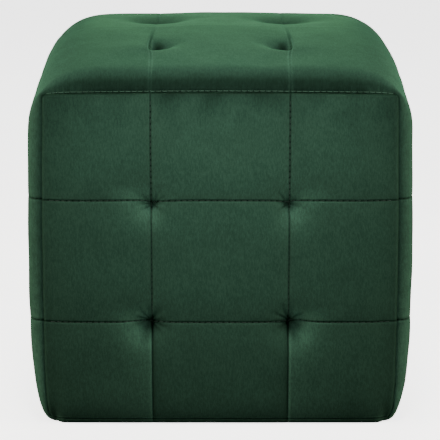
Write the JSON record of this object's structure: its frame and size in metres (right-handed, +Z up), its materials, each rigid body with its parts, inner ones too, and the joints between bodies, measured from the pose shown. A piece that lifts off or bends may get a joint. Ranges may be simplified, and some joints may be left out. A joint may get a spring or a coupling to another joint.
{
  "type": "cube pouf stool",
  "caption": "Tufted cube pouf in green velvet, quilted on every face, with seams round the front and back panels and a plain cloth base.",
  "frame": {"origin": "centre of the underside, on the surface that the pouf stands on", "axes": "+Z up, +X to the right and -Y out of the front panel"},
  "size_m": [0.2994, 0.2964, 0.2919],
  "materials": {
    "velvet": "velvet pile",
    "base_cloth": "matte"
  },
  "bodies": {
    "root": {"side_and_top_band": "velvet", "front_panel": "velvet", "back_panel": "velvet", "base_cloth": "base_cloth"}
  },
  "joints": []
}
